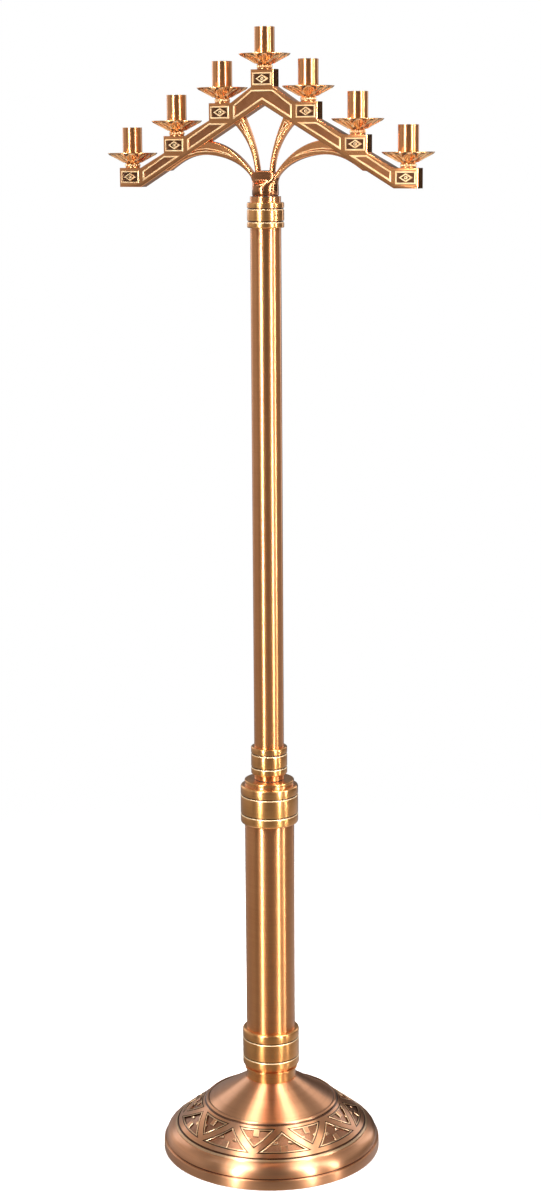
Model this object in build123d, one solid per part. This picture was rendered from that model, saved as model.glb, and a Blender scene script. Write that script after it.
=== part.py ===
from build123d import *
import math
import os

# Seven-light floor candelabrum in satin bronze.
# Millimetres. +Z is up and the origin is the centre of the base on the floor.
# The branch runs along X and its decorated front looks along -Y.
# Three bodies: the stand, the staff that lifts out of it, and the branch that turns on the staff.

# ---- Base ----
base_r = 142.0             # outside radius of the lip
base_wall = 3.5            # thickness of the cast base shell
base_rim_gap = 0.8         # the shell stands this far off the floor, on its felt
lip_height = 13.7          # top of the upright lip
lip_step = 3.0             # the moulding starts this far inside the lip
lip_bevel = 1.5
moulding_run = 13.0        # rounded moulding, from the lip's step in to the ornament band
moulding_rise = 18.8
moulding_bulge = 3.2       # how far the moulding swells past a straight line
band_step = 1.4            # small bevel at the top of the moulding
band_gap = 3.5             # plain strip between the moulding and the ornament band
band_gap_rise = 3.0
band_run = 34.5            # ornament band, inwards and upwards
band_rise = 27.5
bead_run = 3.5             # raised ring between the band and the plain cone
bead_rise = 3.6
cone_rise = 30.4           # plain cone under the column
cone_margin = 0.9          # flat left round the column's foot ring
shell_top_thickness = 6.0
ornament_repeats = 9
ornament_depth = 1.5
ornament_margin = 4.5      # plain border left above and below the triangles
ornament_bar = 6.5         # plain bar left between neighbouring triangles
upright_bar = 1.1          # the bar's angle taken off each corner of an upright triangle, in bars
hanging_bar = 1.9          # and off each corner of a hanging one
ornament_turn = 1.0        # degrees from -Y to the middle of the nearest upright triangle
ornament_foot = 7.05       # from the band's foot to the foot of the upright triangles
ornament_point = 3.6       # the upright triangles' points stop this far under the hanging ones' tops
ornament_hang = 6.9        # the hanging triangles' points stop this far above the upright ones' feet
moulding_swell = 0.7       # share of the bulge, outwards and upwards, at the middle of the moulding
bead_drop = 1.0            # the ring's outer edge lies under its middle
bead_lift = 0.6            # height of the ring above the cone and the band
bead_shoulder = 2.2        # from the ring's top in to the cone
bead_shoulder_drop = 0.3
bead_edge = 1.8            # from the ring's top out to the band

# ---- Weight, felt and clamping tube inside the stand ----
felt_thickness = 2.0
felt_inner_r = 62.0
ballast_gap = 4.0          # between the ballast and the shell's lip
ballast_edge_height = 9.0
ballast_taper_run = 18.5
ballast_taper_rise = 15.0
pillar_wall = 11.0         # round the tie tube
pillar_foot = 6.0          # bevel where the pillar meets the disc
nut_pocket_gap = 3.0
nut_pocket_depth = 12.5
tie_tube_wall = 2.0
tie_bore_gap = 1.0         # between the staff's spigot and the tie tube
tie_clearance = 0.3        # round the tie tube where it only passes through
tie_washer_wall = 14.0
tie_washer_thickness = 2.5
tie_nut_wall = 8.0
tie_nut_height = 8.0

# ---- Column: the thick lower tube with its collars ----
column_tube_r = 31.75
column_tube_wall = 1.6
column_tube_length = 385.5
foot_ring_inset = 0.15     # the foot ring's neck is this much thinner than the tube
foot_ring_flare = 1.0
foot_ring_neck = 12.0      # height of the plain neck
foot_ring_lip = 2.45       # its step stands this far out from the tube
foot_ring_step = 3.0
register_length = 12.0     # part of the foot ring that stands inside the tube
big_collar_wall = 5.15
big_collar_height = 50.0
big_collar_groove_at = 12.5
big_collar_round = 2.6
lower_collar_lift = 3.0    # bare tube shown below the lower collar
upper_collar_drop = 2.8    # bare tube shown above the upper collar
cap_flange = 4.0
cap_edge = 0.8
cap_plug_length = 24.0
groove_width = 2.4
groove_depth = 0.9
slip_gap = 0.05            # between pieces that are pushed together and stay put
screw_r_big = 2.0
screw_r_small = 1.5

# ---- Staff: the thin upper tube that lifts out of the column ----
staff_tube_r = 19.05
staff_tube_wall = 1.6
staff_tube_length = 735.3
seat_washer_thickness = 0.8
seat_washer_inset = 0.65
seat_washer_land = 1.2     # least width of washer that rests on the column's cap
turning_gap = 0.2          # left under a piece that turns or lifts
staff_foot_collar_wall = 4.1
staff_foot_collar_height = 35.5
staff_foot_collar_lift = 7.2
staff_foot_groove_at = 8.9
staff_head_collar_wall = 3.7
staff_head_collar_height = 30.7
staff_head_collar_drop = 7.1
staff_head_groove_at = 7.6
staff_collar_round = 1.4
plug_length = 40.0
spigot_r = 14.0
spigot_length = 120.0
spigot_thread_r = 8.0
spigot_thread_length = 32.0
running_gap = 0.05         # radial clearance of a turning or sliding fit
washer_gap = 0.2           # round a pin that passes through a washer
guide_bush_length = 14.0
head_bush_length = 40.0

# ---- Branch: hub, ribs, stepped beam and candle holders ----
hub_pin_r = 10.0
hub_pin_length = 34.0      # inside the staff
hub_pin_grip = 12.0        # inside the hub
hub_stem_inset = 2.65      # the hub's stem is this much thinner than the staff
hub_stem_height = 16.5
hub_web_height = 14.0      # from the stem to the crotch between the inner ribs
hub_web_depth = 14.0
hub_web_foot = 3.0         # the web starts this far down inside the stem
hub_web_flare = 2.5        # the web is widest this far outside the stem
hub_web_flare_at = 0.42    # share of the web's height where it is widest
hub_shoulder = 2.6         # the web's shoulder lies this far inside the stem
hub_shoulder_drop = 5.0    # and this far under the crotch
hub_crotch_r = 6.8         # half the width of the crotch
hub_crotch_drop = 2.5
beam_depth = 13.0          # front to back
rib_depth = 9.0
rib_sink = 4.0             # the ribs are drawn this far up into the beam, then cut to fit it
inner_rib_foot = (7.4, 12.2)       # inner and outer edge of an inner rib at the hub
inner_rib_waist = (9.2, 11.2)      # control points that bend the two edges
inner_rib_head = (0.489, 0.702)    # where they meet the beam, as shares of the inner pitch
inner_rib_drop = 7.0       # the foot lies this far under the crotch
inner_rib_bend = 0.52      # height of the bend, as a share of the rib
outer_rib_foot = (13.6, 14.0)      # upper and lower edge of an outer rib at the hub
outer_rib_drop = (8.0, 17.0)       # and how far under the crotch each one starts
outer_rib_rise = (27.0, 50.0)      # control points of the upper edge, along X
outer_rib_bend = (0.5, 0.94)       # and their heights as shares of the rib's rise
outer_rib_belly = (23.0, 58.0)     # control points of the lower edge, along X
outer_rib_belly_bend = 0.42
outer_rib_belly_drop = 4.0
outer_rib_join = 0.30      # where the upper edge meets the beam, as a share of the outer pitch
crown_share = 0.36         # highest point of the lower edge, as a share of the outer pitch
crown_drop = 12.8          # and how far it lies under the beam
crown_reach = 21.0
heel_reach = 8.5           # the rib's tail passes the second block by this much
heel_drop = 3.2
heel_bend = (17.5, 0.6)
toe_reach = 11.5
toe_lift = 0.6
inner_pitch = 62.0         # from the middle candle to its neighbours
outer_pitch = 68.75        # between the other candles
step_rise = 39.0           # every candle stands this much above the next one out
apex_rise = 119.6          # from the crotch of the ribs to the top of the middle block
block_width = 32.5
block_side = 20.7          # height of a block's outer side above the beam
end_block_height = 23.7
apex_cover = 41.4          # from the top of the middle block down to the beam's inner corner
panel_margin = 5.6         # plain border round each sunk panel, measured across the slope
margin_up = 1.1            # the border measured straight up a slope, as a share of the margin
margin_end = 0.7           # the border beside a block, as a share
margin_shelf = 0.6         # the border level with a block's foot, as a share
margin_corner = 0.4        # the chevron's upper corner reaches this share past the block's side
panel_depth = 1.2
block_frame = 3.2          # plain border round each block's square
diamond_share = 0.8        # width and height of the diamond inside the square
boss_share = 0.6           # the raised middle of the diamond
square_drop = 0.6          # the square sits this far under the middle of the block's side

pan_r = 31.3
pan_height = 18.8          # from the block to the rim
pan_neck_r = 9.25
pan_foot_height = 1.4      # plain disc under the neck
pan_waist_r = 7.8
pan_waist = (2.6, 5.0)     # foot and head of the waist
pan_cup = (1.5, 7.0)       # the cup starts this far outside the neck, at this height
pan_knee = (0.60, 0.4)     # bend of the flank: share of the radius, and height above the seat
pan_floor_share = 0.62     # the same bend inside the pan
pan_rim = 0.8              # upright edge of the rim
pan_lip = 0.3              # its small bevel
pan_seat_z = 10.3          # the socket stands here, above the block
pan_seat_depth = 0.6       # of the recess that centres the socket
pan_wall = 1.8
socket_bore_r = 11.3       # for a seven-eighths inch candle
socket_wall = 1.0
socket_top = 49.9          # above the block
socket_edge = 0.3          # bevel at the top
socket_floor = 3.0
socket_seat_gap = 0.6      # round the socket's foot, in the pan
screw_shank_r = 2.5
screw_head_r = 4.8
screw_head_height = 2.6
screw_head_sink = 0.1      # the head lies this far under the socket's floor
screw_slot_width = 1.0
screw_slot_depth = 2.0     # twice the depth of the slot
screw_depth = 13.0         # of the hole in the block
screw_end_gap = 0.5        # left under the screw

# ---- Radii and heights that follow from the sizes above ----
moulding_top_r = base_r - lip_step - moulding_run
band_outer_r = moulding_top_r - band_gap
band_inner_r = band_outer_r - band_run
bead_r = band_inner_r - bead_run
moulding_top_z = lip_height + moulding_rise
band_outer_z = moulding_top_z + band_gap_rise
band_inner_z = band_outer_z + band_rise
bead_z = band_inner_z + bead_rise
cone_top_z = bead_z + cone_rise
tie_tube_r = spigot_r + tie_bore_gap + tie_tube_wall
column_bore_r = column_tube_r - column_tube_wall
staff_bore_r = staff_tube_r - staff_tube_wall
foot_ring_r = column_tube_r - foot_ring_inset
cone_top_r = foot_ring_r + foot_ring_flare + cone_margin
ballast_r = base_r - base_wall - ballast_gap
ballast_top_r = ballast_r - ballast_taper_run
pillar_r = tie_tube_r + pillar_wall
tie_washer_r = tie_tube_r + tie_washer_wall
nut_pocket_r = tie_washer_r + nut_pocket_gap
big_collar_r = column_tube_r + big_collar_wall
staff_foot_collar_r = staff_tube_r + staff_foot_collar_wall
staff_head_collar_r = staff_tube_r + staff_head_collar_wall
hub_stem_r = staff_tube_r - hub_stem_inset
socket_r = socket_bore_r + socket_wall
socket_seat_r = socket_r + socket_seat_gap
tube_z = cone_top_z + foot_ring_neck + foot_ring_step
tube_top_z = tube_z + column_tube_length
cap_top_z = tube_top_z + cap_flange
lower_collar_z = tube_z + lower_collar_lift
upper_collar_z = tube_top_z - upper_collar_drop - big_collar_height
staff_z = cap_top_z + seat_washer_thickness + turning_gap
staff_top_z = staff_z + staff_tube_length
foot_collar_z = staff_z + staff_foot_collar_lift
head_collar_z = staff_top_z - staff_head_collar_drop - staff_head_collar_height
hub_z = staff_top_z + seat_washer_thickness + turning_gap
web_z = hub_z + hub_stem_height
crotch_z = web_z + hub_web_height
apex_top_z = crotch_z + apex_rise
tie_washer_z = felt_thickness + nut_pocket_depth - tie_washer_thickness
tie_nut_z = tie_washer_z - tie_nut_height
tie_top_z = cap_top_z - guide_bush_length

# Candle places from left to right: distance along X, and the top of the block.
steps_out = (0, inner_pitch, inner_pitch + outer_pitch, inner_pitch + 2 * outer_pitch)
right_candles = [(x, apex_top_z - i * step_rise) for i, x in enumerate(steps_out)]
candles = [(-x, z) for x, z in reversed(right_candles[1:])] + right_candles
block_half = block_width / 2
beam_apex_z = apex_top_z - apex_cover
beam_end_x = steps_out[3] - block_half
beam_end_z = right_candles[3][1] - end_block_height


# ---- Shapes used more than once ----
def turned(points):
    """A solid turned about Z from a closed outline of (radius, height) points."""
    return revolve(Plane.XZ * make_face(Polyline(*points, close=True)), Axis.Z)


def tube(outer_r, inner_r, low, high):
    """A plain ring or tube between two heights."""
    return turned([(inner_r, low), (outer_r, low), (outer_r, high), (inner_r, high)])


def rod(radius, low, high):
    """A round bar on Z between two heights."""
    return Pos(0, 0, low) * Cylinder(radius, high - low, align=(Align.CENTER, Align.CENTER, Align.MIN))


def outer_circles(solid, radius, heights):
    """The circular edges of a turned solid that have this radius and one of these heights."""
    return [
        e
        for e in solid.edges().filter_by(GeomType.CIRCLE)
        if abs(e.radius - radius) < 1e-4 and any(abs(e.center().Z - z) < 1e-4 for z in heights)
    ]


def radial_hole(radius, reach, height):
    """A drill along +Y, from the axis out to reach, at one height."""
    drill = Cylinder(radius, reach, align=(Align.CENTER, Align.CENTER, Align.MIN))
    return Pos(0, 0, height) * Rot(-90, 0, 0) * drill


def banded_collar(radius, bore_r, low, height, groove_at, end_round, screw_r):
    """A collar with rounded ends, two turned grooves and a tapped hole at the back."""
    grooves = [low + groove_at, low + height - groove_at]
    solid = tube(radius, bore_r, low, low + height)
    solid = fillet(outer_circles(solid, radius, (low, low + height)), end_round)
    for z in grooves:
        solid -= tube(radius + 1, radius - groove_depth, z - groove_width / 2, z + groove_width / 2)
    return solid - radial_hole(screw_r, radius + 1, low + height / 2)


def grub_screw(screw_r, seat_r, collar_r, height):
    """A socket grub screw that bears on the tube and sits just under the collar's surface."""
    length = collar_r - seat_r - groove_depth
    screw = Cylinder(screw_r, length, align=(Align.CENTER, Align.CENTER, Align.MIN))
    hex_key = extrude(RegularPolygon(screw_r * 0.5, 6), length * 0.4)
    screw -= Pos(0, 0, length * 0.6) * hex_key
    return Pos(0, 0, height) * Rot(-90, 0, 0) * Pos(0, 0, seat_r) * screw


def plate(outline, depth):
    """A plate of this depth, centred on Y, from a closed outline of (x, z) points."""
    return extrude(Plane.XZ * make_face(Polyline(*outline, close=True)), depth / 2, both=True)


def mirrored(solid):
    """The same solid on the other side of the middle."""
    return solid.mirror(Plane.YZ)


# ---- Stand ----
def base_profile():
    """Corners of the base between lip and cone, outside and inside, without the small steps."""
    outside = [
        (base_r, base_rim_gap),
        (base_r, lip_height),
        (moulding_top_r, moulding_top_z),
        (band_inner_r, band_inner_z),
        (cone_top_r, cone_top_z),
    ]
    inside = []
    for i, (r, z) in enumerate(outside[1:-1], start=1):
        before = unit(outside[i - 1], outside[i])
        after = unit(outside[i], outside[i + 1])
        turn = 1 + before[0] * after[0] + before[1] * after[1]
        normal = (-(before[1] + after[1]) / turn, (before[0] + after[0]) / turn)
        inside.append((r + base_wall * normal[0], z + base_wall * normal[1]))
    return outside, inside


def unit(a, b):
    """Unit vector from one outline point to the next."""
    length = math.dist(a, b)
    return (b[0] - a[0]) / length, (b[1] - a[1]) / length


def band_point(angle, rise):
    """A point of the ornament band, flattened on its tangent plane: across, then up the slope.

    The angle is from the middle of the triangle and the rise is measured up from the band's foot.
    """
    slope = unit((band_outer_r, band_outer_z), (band_inner_r, band_inner_z))
    r = band_outer_r + rise * slope[0]
    across = r * math.sin(math.radians(angle))
    fall_back = band_outer_r - r * math.cos(math.radians(angle))
    return across, -fall_back * slope[0] + rise * slope[1] * slope[1]


def band_triangle(corners):
    """A triangular prism standing square on the band, from three (angle, rise) corners."""
    slope = unit((band_outer_r, band_outer_z), (band_inner_r, band_inner_z))
    foot = Plane(
        origin=(0, -band_outer_r, band_outer_z),
        x_dir=(1, 0, 0),
        z_dir=(0, -slope[1], -slope[0]),
    )
    outline = [band_point(*corner) for corner in corners]
    return extrude(foot * make_face(Polyline(*outline, close=True)), 4 * ornament_depth, both=True)


def ornament_pockets():
    """Upright and hanging triangles, sunk by the same depth all round the sloping band."""
    outer, inner = (band_outer_r, band_outer_z), (band_inner_r, band_inner_z)
    slope = unit(outer, inner)
    out = (slope[1], -slope[0])
    layer = turned(
        [
            (r + reach * out[0], z + reach * out[1])
            for (r, z), reach in (
                (outer, -ornament_depth),
                (inner, -ornament_depth),
                (inner, 2 * ornament_depth),
                (outer, 2 * ornament_depth),
            )
        ]
    )
    length = math.dist(outer, inner)
    half_sector = 180 / ornament_repeats
    bar_angle = math.degrees(ornament_bar / band_outer_r)
    wide, narrow = half_sector - upright_bar * bar_angle, half_sector - hanging_bar * bar_angle
    foot, head = ornament_foot, length - ornament_margin
    point, tip = head - ornament_point, foot + ornament_hang
    upright = band_triangle([(-wide, foot), (0, foot), (wide, foot), (0, point)])
    hanging = band_triangle([(-narrow, head), (0, tip), (narrow, head), (0, head)])
    return [
        layer & (Rot(0, 0, ornament_turn + (i + turn) * 2 * half_sector) * prism)
        for i in range(ornament_repeats)
        for turn, prism in ((0, upright), (0.5, hanging))
    ]


def make_base_shell():
    outside, inside = base_profile()
    swell_mid = (
        (base_r - lip_step + moulding_top_r) / 2 + moulding_bulge * moulding_swell,
        (lip_height + moulding_top_z) / 2 + moulding_bulge * moulding_swell,
    )
    with BuildPart() as shell:
        with BuildSketch(Plane.XZ):
            with BuildLine():
                Polyline(
                    (base_r, base_rim_gap),
                    (base_r, lip_height - lip_bevel),
                    (base_r - lip_bevel, lip_height),
                    (base_r - lip_step, lip_height),
                )
                ThreePointArc((base_r - lip_step, lip_height), swell_mid, (moulding_top_r, moulding_top_z))
                Polyline(
                    (moulding_top_r, moulding_top_z),
                    (moulding_top_r - band_step, moulding_top_z + band_step),
                    (band_outer_r, band_outer_z),
                    (band_inner_r, band_inner_z),
                    (bead_r + bead_edge, bead_z - bead_drop),
                    (bead_r, bead_z + bead_lift),
                    (bead_r - bead_shoulder, bead_z + bead_shoulder_drop),
                    (cone_top_r, cone_top_z),
                    (tie_tube_r + tie_clearance, cone_top_z),
                    (tie_tube_r + tie_clearance, cone_top_z - shell_top_thickness),
                    (cone_top_r, cone_top_z - shell_top_thickness),
                    *reversed(inside),
                    (base_r - base_wall, base_rim_gap),
                    (base_r, base_rim_gap),
                )
            make_face()
        revolve(axis=Axis.Z)
    return shell.part - ornament_pockets()


def make_base_ballast():
    pocket_top = felt_thickness + nut_pocket_depth
    edge_z = felt_thickness + ballast_edge_height
    disc_z = edge_z + ballast_taper_rise
    bore = tie_tube_r + tie_clearance
    return turned(
        [
            (nut_pocket_r, felt_thickness),
            (ballast_r, felt_thickness),
            (ballast_r, edge_z),
            (ballast_top_r, disc_z),
            (pillar_r + pillar_foot, disc_z),
            (pillar_r, disc_z + pillar_foot),
            (pillar_r, cone_top_z - shell_top_thickness),
            (bore, cone_top_z - shell_top_thickness),
            (bore, pocket_top),
            (nut_pocket_r, pocket_top),
        ]
    )


def make_tie_nut():
    nut = extrude(RegularPolygon(tie_tube_r + tie_nut_wall, 6, major_radius=False), tie_nut_height)
    return Pos(0, 0, tie_nut_z) * nut - rod(tie_tube_r, tie_nut_z - 1, tie_washer_z + 1)


def make_column_foot_ring():
    bore = tie_tube_r + tie_clearance
    neck_top = cone_top_z + foot_ring_neck
    step_r = column_tube_r + foot_ring_lip
    return turned(
        [
            (bore, cone_top_z),
            (foot_ring_r + foot_ring_flare, cone_top_z),
            (foot_ring_r, neck_top),
            (step_r, neck_top),
            (step_r, tube_z),
            (column_bore_r - slip_gap, tube_z),
            (column_bore_r - slip_gap, tube_z + register_length),
            (bore, tube_z + register_length),
        ]
    )


def make_column_cap():
    return turned(
        [
            (tie_tube_r, tube_top_z - cap_plug_length),
            (column_bore_r - slip_gap, tube_top_z - cap_plug_length),
            (column_bore_r - slip_gap, tube_top_z),
            (column_tube_r, tube_top_z),
            (column_tube_r, cap_top_z - cap_edge),
            (column_tube_r - cap_edge, cap_top_z),
            (tie_tube_r, cap_top_z),
        ]
    )


def make_stand():
    collars = {
        low: banded_collar(
            big_collar_r,
            column_tube_r + slip_gap,
            low,
            big_collar_height,
            big_collar_groove_at,
            big_collar_round,
            screw_r_big,
        )
        for low in (lower_collar_z, upper_collar_z)
    }
    screws = [
        grub_screw(screw_r_big, column_tube_r, big_collar_r, low + big_collar_height / 2) for low in collars
    ]
    tie_washer_top = tie_washer_z + tie_washer_thickness
    tie_washer = tube(tie_washer_r, tie_tube_r + tie_clearance, tie_washer_z, tie_washer_top)
    seat_r = max(staff_tube_r - seat_washer_inset, tie_tube_r + seat_washer_land)
    seat_washer = tube(seat_r, spigot_r + washer_gap, cap_top_z, cap_top_z + seat_washer_thickness)
    return {
        "base_shell": make_base_shell(),
        "base_ballast": make_base_ballast(),
        "base_felt": tube(ballast_r, felt_inner_r, 0, felt_thickness),
        "tie_tube": tube(tie_tube_r, tie_tube_r - tie_tube_wall, tie_nut_z, tie_top_z),
        "tie_washer": tie_washer,
        "tie_nut": make_tie_nut(),
        "column_foot_ring": make_column_foot_ring(),
        "column_tube": tube(column_tube_r, column_bore_r, tube_z, tube_top_z),
        "column_lower_collar": collars[lower_collar_z],
        "column_upper_collar": collars[upper_collar_z],
        "column_collar_screws": Compound(children=screws),
        "column_cap": make_column_cap(),
        "staff_guide_bush": tube(tie_tube_r, spigot_r + running_gap, tie_top_z, cap_top_z),
        "column_seat_washer": seat_washer,
    }


# ---- Staff ----
def make_staff_spigot():
    thread = rod(spigot_thread_r, staff_z, staff_z + spigot_thread_length)
    return rod(spigot_r, staff_z - spigot_length, staff_z) + thread


def make_staff():
    plug_r = staff_bore_r - slip_gap
    plug = tube(plug_r, spigot_thread_r, staff_z, staff_z + plug_length)
    bore = staff_tube_r + slip_gap
    foot = (staff_foot_collar_r, foot_collar_z, staff_foot_collar_height, staff_foot_groove_at)
    head = (staff_head_collar_r, head_collar_z, staff_head_collar_height, staff_head_groove_at)
    collars = {
        name: banded_collar(r, bore, z, h, groove, staff_collar_round, screw_r_small)
        for name, (r, z, h, groove) in (("foot", foot), ("head", head))
    }
    screws = [grub_screw(screw_r_small, staff_tube_r, r, z + h / 2) for r, z, h, _ in (foot, head)]
    washer_top = staff_top_z + seat_washer_thickness
    washer = tube(hub_stem_r - seat_washer_inset, hub_pin_r + washer_gap, staff_top_z, washer_top)
    return {
        "staff_tube": tube(staff_tube_r, staff_bore_r, staff_z, staff_top_z),
        "staff_foot_plug": plug,
        "staff_spigot": make_staff_spigot(),
        "staff_foot_collar": collars["foot"],
        "staff_head_collar": collars["head"],
        "staff_collar_screws": Compound(children=screws),
        "staff_head_bush": tube(plug_r, hub_pin_r + running_gap, staff_top_z - head_bush_length, staff_top_z),
        "swivel_washer": washer,
    }


# ---- Branch ----
def beam_top_z(x):
    """Height of the beam's sloping upper edge at a distance from the middle, between blocks."""
    for (x0, z0), (x1, z1) in zip(right_candles, right_candles[1:]):
        start, end = (x0 + block_half, z0 - block_side), (x1 - block_half, z1)
        if x <= end[0]:
            return start[1] + (end[1] - start[1]) * (x - start[0]) / (end[0] - start[0])
    raise ValueError("no beam at this distance")


def beam_foot_z(x):
    """Height of the beam's straight underside at a distance from the middle."""
    return beam_apex_z + (beam_end_z - beam_apex_z) * x / beam_end_x


def beam_outline():
    """The right half of the beam's outline from the middle block's top to its inner corner."""
    right = [(0, apex_top_z)]
    for i, (x, z) in enumerate(right_candles):
        if i:
            right.append((x - block_half, z))
        right.append((x + block_half, z))
        foot = z - (block_side if i < 3 else end_block_height)
        right.append((x + block_half, foot))
    right += [(beam_end_x, beam_end_z), (0, beam_apex_z)]
    left = [(-x, z) for x, z in reversed(right[1:-1])]
    return right + left


def panel_outlines():
    """The sunk panels on the right half of the beam, and the chevron in the middle."""
    up, side = panel_margin * margin_up, panel_margin * margin_end
    first_end = right_candles[1][0] - block_half - side
    top = right_candles[0][1] - block_side
    right = [
        (block_half - panel_margin * margin_corner, top - side),
        (first_end, beam_top_z(first_end) - up),
        (first_end, beam_foot_z(first_end) + up),
    ]
    left = [(-x, z) for x, z in reversed(right)]
    outlines = [right + [(0, beam_apex_z + up)] + left]
    slope = (beam_end_z - beam_apex_z) / beam_end_x
    for (x0, z0), (x1, _) in zip(right_candles[1:], right_candles[2:]):
        start, end = x0 + block_half, x1 - block_half - side
        shelf = z0 - block_side - panel_margin * margin_shelf
        shelf_x = (shelf - up - beam_apex_z) / slope
        foot = (end, beam_foot_z(end) + up)
        outlines.append([(shelf_x, shelf), (start, shelf), (end, beam_top_z(end) - up), foot])
    return outlines


def block_squares():
    """The sunk rectangle with its standing diamond, for every block."""
    half_x = block_half - block_frame
    half_z = (block_side - 2 * block_frame) / 2
    faces = []
    for x, z in candles:
        rectangle = Rectangle(2 * half_x, 2 * half_z)
        diamond, boss = (
            make_face(Polyline((-w, 0), (0, -h), (w, 0), (0, h), close=True))
            for w, h in (
                (half_x * diamond_share, half_z * diamond_share),
                (half_x * diamond_share * boss_share, half_z * diamond_share * boss_share),
            )
        )
        middle = Pos(x, z - block_side / 2 - square_drop, 0)
        faces.append(Plane.XZ * middle * (rectangle - diamond + boss))
    return faces


def make_branch_beam():
    beam = plate(beam_outline(), beam_depth)
    sunk = block_squares()
    for outline in panel_outlines():
        sunk.append(Plane.XZ * make_face(Polyline(*outline, close=True)))
        if outline[0][0] > 0 and outline[-1][0] > 0:
            left = [(-x, z) for x, z in outline]
            sunk.append(Plane.XZ * make_face(Polyline(*left, close=True)))
    core = beam_depth / 2 - panel_depth
    for face in sunk:
        for way in (1, -1):
            cutter = extrude(face, beam_depth, dir=(0, way, 0))
            beam -= Pos(0, way * core, 0) * cutter
    for x, z in candles:
        beam -= Pos(x, 0, 0) * rod(screw_shank_r, z - screw_depth, z + 1)
    return beam


def rib_plate(edges_in_order):
    """A rib cut from plate: its outline is a closed chain of curves, each given by control points."""
    with BuildPart() as rib:
        with BuildSketch(Plane.XZ):
            with BuildLine():
                for points in edges_in_order:
                    if len(points) == 2:
                        Line(*points)
                    else:
                        Bezier(*points)
            make_face()
        extrude(amount=rib_depth / 2, both=True)
    return rib.part


def make_inner_rib(beam, hub):
    head_in, head_out = (share * inner_pitch for share in inner_rib_head)
    top_in, top_out = beam_foot_z(head_in) + rib_sink, beam_foot_z(head_out) + rib_sink
    foot = crotch_z - inner_rib_drop
    middle = foot + (beam_foot_z(head_in) - foot) * inner_rib_bend
    foot_in, foot_out = ((x, foot) for x in inner_rib_foot)
    rib = rib_plate(
        [
            (foot_in, (inner_rib_waist[0], middle), (head_in, top_in)),
            ((head_in, top_in), (head_out, top_out)),
            ((head_out, top_out), (inner_rib_waist[1], middle), foot_out),
            (foot_out, foot_in),
        ]
    )
    return rib - beam - hub


def make_outer_rib(beam, hub, inner):
    upper_foot, lower_foot = (
        (x, crotch_z - drop) for x, drop in zip(outer_rib_foot, outer_rib_drop)
    )
    join_x = inner_pitch + outer_rib_join * outer_pitch
    join = (join_x, beam_foot_z(join_x))
    crown_x = inner_pitch + crown_share * outer_pitch
    crown = (crown_x, beam_foot_z(crown_x) - crown_drop)
    heel_x = steps_out[2] + heel_reach
    heel = (heel_x, beam_foot_z(heel_x) - heel_drop)
    toe_x = heel_x + toe_reach
    toe = (toe_x, beam_foot_z(toe_x) + toe_lift)
    rise, fall = join[1] - upper_foot[1], crown[1] - heel[1]
    upper_bends = [
        (x, upper_foot[1] + share * rise) for x, share in zip(outer_rib_rise, outer_rib_bend)
    ]
    belly = (outer_rib_belly[0], upper_foot[1] + outer_rib_belly_bend * rise - outer_rib_belly_drop)
    inside_join = (join[0] + rib_sink / 2, join[1] + rib_sink)
    inside_toe = (toe[0] + rib_sink / 2, toe[1] + rib_sink)
    tail_bend = (heel[0] - heel_bend[0], heel[1] + heel_bend[1] * fall)
    rib = rib_plate(
        [
            (upper_foot, *upper_bends, join),
            (join, inside_join),
            (inside_join, inside_toe),
            (inside_toe, toe),
            (toe, heel),
            (heel, tail_bend, (crown[0] + crown_reach, crown[1]), crown),
            (crown, (outer_rib_belly[1], crown[1]), belly, lower_foot),
            (lower_foot, upper_foot),
        ]
    )
    return rib - beam - hub - inner


def make_branch_hub():
    stem = rod(hub_stem_r, hub_z, web_z)
    right = [
        (hub_stem_r - hub_shoulder, web_z - hub_web_foot),
        (hub_stem_r + hub_web_flare, web_z + hub_web_height * hub_web_flare_at),
        (hub_stem_r - hub_shoulder, crotch_z - hub_shoulder_drop),
        (hub_crotch_r, crotch_z - hub_crotch_drop),
    ]
    web = right + [(0, crotch_z)] + [(-x, z) for x, z in reversed(right)]
    hub = stem + plate(web, hub_web_depth)
    return hub - rod(hub_pin_r, hub_z - 1, hub_z + hub_pin_grip)


def make_drip_pan(x, z):
    bore = screw_shank_r + tie_clearance
    knee_z = pan_seat_z + pan_knee[1]
    pan = turned(
        [
            (bore, 0),
            (pan_neck_r, 0),
            (pan_neck_r, pan_foot_height),
            (pan_waist_r, pan_waist[0]),
            (pan_waist_r, pan_waist[1]),
            (pan_neck_r + pan_cup[0], pan_cup[1]),
            (pan_r * pan_knee[0], knee_z),
            (pan_r, pan_height - pan_rim),
            (pan_r - pan_lip, pan_height),
            (pan_r * pan_floor_share, knee_z + pan_wall),
            (socket_seat_r, pan_seat_z + pan_seat_depth),
            (socket_seat_r, pan_seat_z),
            (bore, pan_seat_z),
        ]
    )
    return Pos(x, 0, z) * pan


def make_candle_socket(x, z):
    bore = screw_shank_r + tie_clearance
    floor_z = pan_seat_z + socket_floor
    socket = turned(
        [
            (bore, pan_seat_z),
            (socket_r, pan_seat_z),
            (socket_r, socket_top - socket_edge),
            (socket_r - socket_edge, socket_top),
            (socket_bore_r, socket_top),
            (socket_bore_r, floor_z),
            (screw_head_r + 3 * slip_gap, floor_z),
            (bore, floor_z - screw_head_height - 2 * slip_gap),
        ]
    )
    return Pos(x, 0, z) * socket


def make_socket_screw(x, z):
    floor_z = pan_seat_z + socket_floor
    low, top = screw_end_gap - screw_depth, floor_z - screw_head_sink
    screw = turned(
        [
            (0, low),
            (screw_shank_r, low),
            (screw_shank_r, floor_z - screw_head_height),
            (screw_head_r, top),
            (0, top),
        ]
    )
    slot = Pos(0, 0, floor_z) * Box(2 * screw_head_r, screw_slot_width, screw_slot_depth)
    return Pos(x, 0, z) * (screw - slot)


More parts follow.
